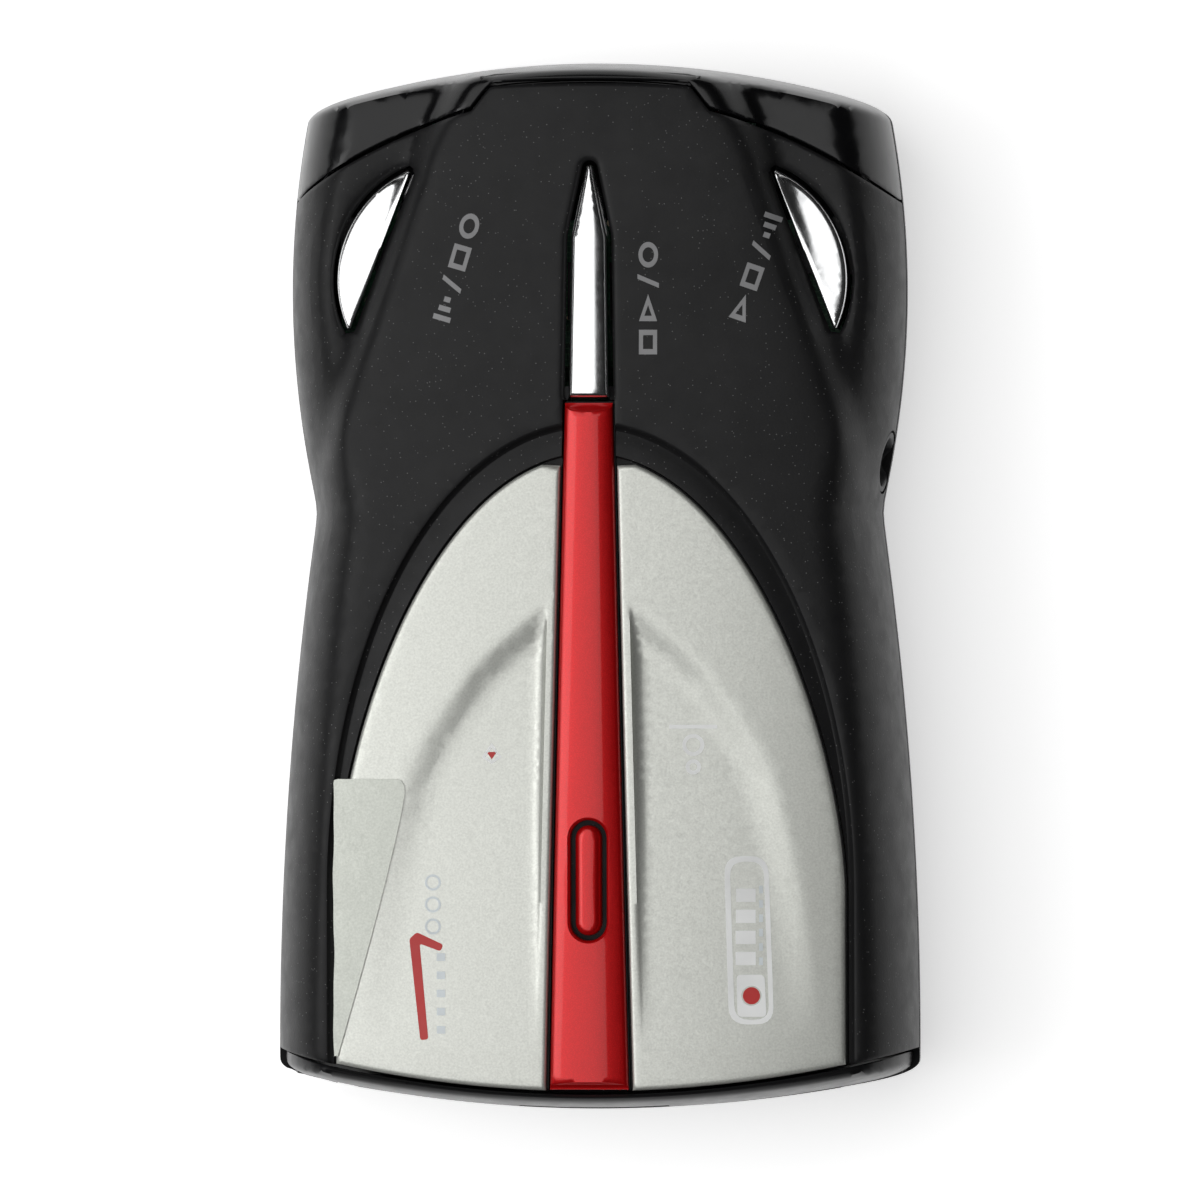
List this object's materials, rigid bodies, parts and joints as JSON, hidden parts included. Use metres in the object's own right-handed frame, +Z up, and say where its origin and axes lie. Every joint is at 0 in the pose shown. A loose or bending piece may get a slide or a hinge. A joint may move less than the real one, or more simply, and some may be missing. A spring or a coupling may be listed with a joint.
{
  "type": "radar detector",
  "caption": "Windscreen or dashboard radar detector: black two-part case with silver panels, red centre strip, three chrome keys, display window and bracket release latch.",
  "frame": {"origin": "centre of the bounding box on the surface that the pads stand on", "axes": "+Z up, +Y towards the driver and the display window, -Y towards the windscreen, +X to the right"},
  "size_m": [0.0674, 0.11, 0.0315],
  "materials": {
    "black_plastic": "satin, fine sparkle",
    "smoked_window": "gloss",
    "silver_paint": "fine metallic satin paint",
    "red_metallic": "metallic gloss",
    "chrome": "mirror",
    "foil": "thin satin film",
    "circuit_board": "solder mask",
    "chip_black": "moulded",
    "tinned_steel": "tinned",
    "die_cast": "cast",
    "rubber": "matte",
    "label": "printed film, blank",
    "lens": "clear moulded",
    "screw_steel": "black zinc",
    "spring_steel": "drawn wire"
  },
  "bodies": {
    "body": {"top_housing": "black_plastic", "bottom_housing": "black_plastic", "display_window": "smoked_window", "front_lens": "smoked_window", "silver_panel_left": "silver_paint", "silver_panel_right": "silver_paint", "centre_strip": "red_metallic", "foil_label": "foil", "bracket_channel": "black_plastic", "release_spring": "spring_steel", "main_board": "circuit_board", "key_board": "circuit_board", "display_board": "circuit_board", "led_display": "chip_black", "board_connector": "chip_black", "processor_chip": "chip_black", "audio_chip": "chip_black", "horn_antenna": "die_cast", "rf_shield_can": "tinned_steel", "laser_lens": "lens", "front_laser_sensor": "chip_black", "rear_laser_sensor": "lens", "speaker": "die_cast", "speaker_gasket": "rubber", "power_jack": "chip_black", "volume_pot": "chip_black", "select_switch": "chip_black", "set_switch": "chip_black", "program_switch": "chip_black", "front_pad": "rubber", "rear_pad": "rubber", "rating_label": "label", "housing_screw_1": "screw_steel", "housing_screw_2": "screw_steel", "housing_screw_3": "screw_steel", "housing_screw_4": "screw_steel", "board_screw_1": "screw_steel", "board_screw_2": "screw_steel"},
    "select_key": {"select_button": "chrome", "select_plunger": "chip_black"},
    "set_key": {"set_button": "chrome", "set_plunger": "chip_black"},
    "program_key": {"program_button": "chrome", "program_plunger": "chip_black"},
    "release_latch": {"release_button": "red_metallic", "latch_stirrup": "die_cast"},
    "volume": {"volume_wheel": "black_plastic"}
  },
  "joints": [
    {"name": "select_press", "type": "slide", "parent": "body", "child": "select_key", "axis": [0, 0, -1], "range_m": [0, 0.0005], "stiffness_N_per_m": 2500, "springref_m": -0.0003},
    {"name": "set_press", "type": "slide", "parent": "body", "child": "set_key", "axis": [0, 0, -1], "range_m": [0, 0.0005], "stiffness_N_per_m": 2500, "springref_m": -0.0003},
    {"name": "program_press", "type": "slide", "parent": "body", "child": "program_key", "axis": [0, 0, -1], "range_m": [0, 0.0005], "stiffness_N_per_m": 2500, "springref_m": -0.0003},
    {"name": "release_press", "type": "slide", "parent": "body", "child": "release_latch", "axis": [0, 0, -1], "range_m": [0, 0.0015], "stiffness_N_per_m": 1500, "springref_m": -0.0006, "deforming": ["release_spring"]},
    {"name": "volume_turn", "type": "hinge", "parent": "body", "child": "volume", "pos_m": [-0.024, 0.015, 0.0066], "axis": [0, 0, 1], "range_deg": [0, 270]}
  ]
}
